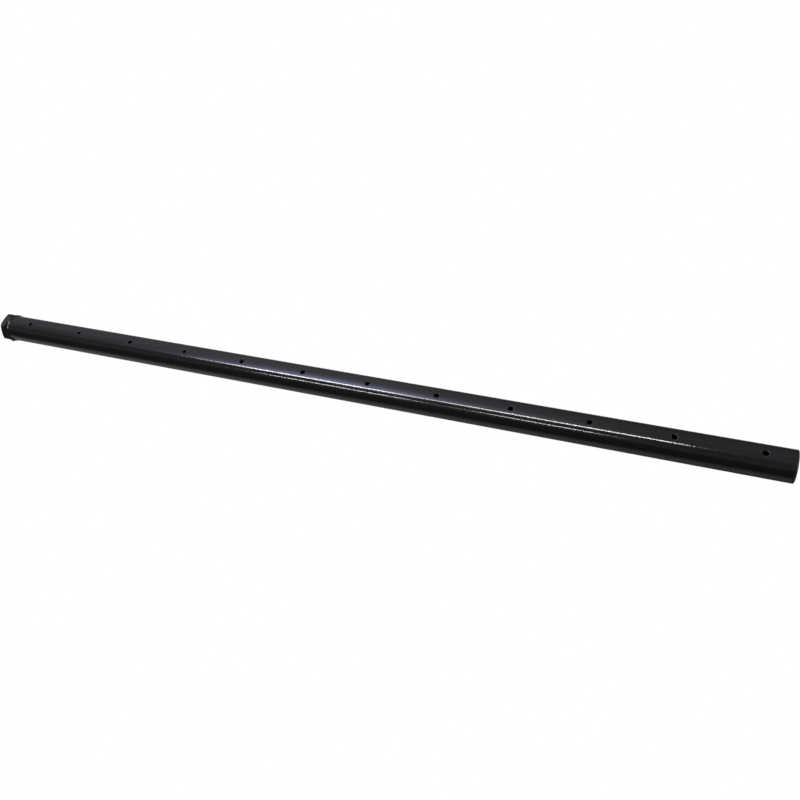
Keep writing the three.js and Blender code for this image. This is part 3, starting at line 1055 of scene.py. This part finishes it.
def make_dark_card():
    """A dark card seen only in reflections, as a black flag set up in front of the bar; it paints the dark
    reflected band along the tube's front below the highlights.
    """
    clear_selection()
    bpy.ops.mesh.primitive_plane_add(size=1, location=CARD_PLACE, rotation=(math.pi / 2, 0, 0))
    card = bpy.context.active_object
    card.scale = (CARD_LENGTH, CARD_HEIGHT, 1.0)
    card.name = "dark_card"
    bpy.ops.object.transform_apply(location=True, rotation=True, scale=True)
    material, _, surface, _ = start_material("card_black_painted_reflection")
    surface.inputs["Base Color"].default_value = (*CARD_COLOUR, 1)
    surface.inputs["Roughness"].default_value = 1.0
    surface.inputs["Specular IOR Level"].default_value = 0.0
    card.data.materials.append(material)
    card.visible_camera = False
    card.visible_diffuse = False
    card.visible_shadow = False
    card.visible_transmission = False
    card.visible_volume_scatter = False


def strip_lamp(name, start_x, end_x, angle, width, brightness):
    """A strip lamp along the bar; angle is from straight out in front (-Y) up towards +Z."""
    turn_up = math.radians(angle)
    middle_x = (start_x + end_x) / 2
    clear_selection()
    bpy.ops.object.light_add(type="AREA", location=(
        middle_x, -LAMP_DISTANCE * math.cos(turn_up), LAMP_DISTANCE * math.sin(turn_up)))
    lamp = bpy.context.active_object
    lamp.name = name
    lamp.data.shape = "RECTANGLE"
    lamp.data.size = end_x - start_x
    lamp.data.size_y = width
    lamp.data.energy = brightness * width * (end_x - start_x)
    towards = Vector((middle_x, 0, 0)) - lamp.location
    lamp.rotation_mode = "QUATERNION"
    lamp.rotation_quaternion = towards.to_track_quat("-Z", "Y")


def make_lights():
    strip_lamp("upper_strip_tail", -1.25, -1.08, UPPER_STRIP_ANGLE, STRIP_WIDTH, 26)
    strip_lamp("upper_strip_left", -1.08, -0.43, UPPER_STRIP_ANGLE, STRIP_WIDTH, 122)
    strip_lamp("upper_strip_gap", -0.43, -0.2, UPPER_STRIP_ANGLE, STRIP_WIDTH, 50)
    strip_lamp("upper_strip_right", -0.2, 0.5, UPPER_STRIP_ANGLE, STRIP_WIDTH, 96)
    strip_lamp("lower_strip_left", -0.95, -0.375, LOWER_STRIP_ANGLE, LOW_STRIP_WIDTH, 115)
    strip_lamp("lower_strip_gap", -0.375, -0.12, LOWER_STRIP_ANGLE, LOW_STRIP_WIDTH, 12)
    strip_lamp("lower_strip_right", -0.12, 0.25, LOWER_STRIP_ANGLE, LOW_STRIP_WIDTH, 110)


def curve_through(tree, value, points):
    """A number drawn as a line through (value, result) points."""
    result = None
    for (x0, y0), (x1, y1) in zip(points, points[1:]):
        rise = spread(tree, value, x0, x1, 0.0, y1 - y0)
        result = calculate(tree, "ADD", rise, points[0][1] if result is None else result)
    return result


def bell(tree, value, middle, spread_out):
    """A smooth hump: 1 where value is middle, dying away over spread_out."""
    off = calculate(tree, "DIVIDE", calculate(tree, "SUBTRACT", value, middle), spread_out)
    squared = calculate(tree, "MULTIPLY", off, off)
    return calculate(tree, "POWER", math.e, calculate(tree, "MULTIPLY", squared, -0.5))


def make_world():
    """White to the eye; in reflections a room, dim in front and bright behind, with a soft cool glow."""
    world = bpy.data.worlds.new("studio_air")
    bpy.context.scene.world = world
    world.use_nodes = True
    tree = world.node_tree
    tree.nodes.clear()
    way = node(tree, "ShaderNodeSeparateXYZ")
    tree.links.new(node(tree, "ShaderNodeTexCoord").outputs["Generated"], way.inputs[0])
    front = calculate(tree, "MULTIPLY", way.outputs["Y"], -1.0)
    angle = calculate(tree, "DEGREES", calculate(tree, "ARCTAN2", way.outputs["Z"], front))
    room = curve_through(tree, angle, ROOM_BY_ANGLE)
    behind = spread(tree, angle, 80, 115)
    to_right = calculate(tree, "MULTIPLY", spread(tree, way.outputs["X"], -0.38, 0.0), behind)
    to_left = calculate(tree, "MULTIPLY", spread(tree, way.outputs["X"], -0.75, -0.5, 1.0, 0.0), behind)
    room = calculate(tree, "MULTIPLY", room, spread(tree, to_right, 0.0, 1.0, 1.0, 0.5))
    room = calculate(tree, "MULTIPLY", room, spread(tree, to_left, 0.0, 1.0, 1.0, 0.65))
    low = calculate(tree, "LESS_THAN", angle, 0.0)
    room = calculate(tree, "MULTIPLY", room, calculate(tree, "SUBTRACT", 1.0, low))
    room = calculate(tree, "MULTIPLY_ADD", low, BELOW_FLOOR_LINE, room)
    glow_along = bell(tree, way.outputs["X"], *GLOW_ALONG)
    glow = calculate(tree, "MULTIPLY", glow_along, bell(tree, angle, *GLOW_ROUND))
    glow = calculate(tree, "MULTIPLY", glow, spread(tree, angle, 65, 77))
    glow = calculate(tree, "MULTIPLY", glow, GLOW_STRENGTH)
    haze_along = bell(tree, way.outputs["X"], *HAZE_ALONG)
    haze = calculate(tree, "MULTIPLY", haze_along, bell(tree, angle, *HAZE_ROUND))
    room = calculate(tree, "MULTIPLY_ADD", haze, HAZE_STRENGTH, room)
    reflected = node(tree, "ShaderNodeBackground")
    reflected.inputs["Color"].default_value = (*ROOM_COLOUR, 1)
    tree.links.new(room, reflected.inputs["Strength"])
    cool = node(tree, "ShaderNodeBackground")
    cool.inputs["Color"].default_value = (*GLOW_COLOUR, 1)
    tree.links.new(glow, cool.inputs["Strength"])
    both = node(tree, "ShaderNodeAddShader")
    tree.links.new(reflected.outputs[0], both.inputs[0])
    tree.links.new(cool.outputs[0], both.inputs[1])
    seen = node(tree, "ShaderNodeBackground")
    seen.inputs["Color"].default_value = (1, 1, 1, 1)
    choose = node(tree, "ShaderNodeMixShader")
    tree.links.new(node(tree, "ShaderNodeLightPath").outputs["Is Camera Ray"], choose.inputs[0])
    tree.links.new(both.outputs[0], choose.inputs[1])
    tree.links.new(seen.outputs[0], choose.inputs[2])
    end = node(tree, "ShaderNodeOutputWorld")
    tree.links.new(choose.outputs[0], end.inputs["Surface"])


def make_camera():
    clear_selection()
    bpy.ops.object.camera_add(
        location=CAMERA_PLACE, rotation=[math.radians(degrees) for degrees in CAMERA_TURN])
    camera = bpy.context.active_object
    camera.data.lens = CAMERA_LENS
    camera.data.sensor_width = SENSOR_WIDTH
    camera.data.clip_start = 0.01
    camera.data.clip_end = 100
    bpy.context.scene.camera = camera


make_floor()
make_dark_card()
make_lights()
make_world()
make_camera()
bpy.context.scene.view_settings.view_transform = "Standard"

clear_selection()
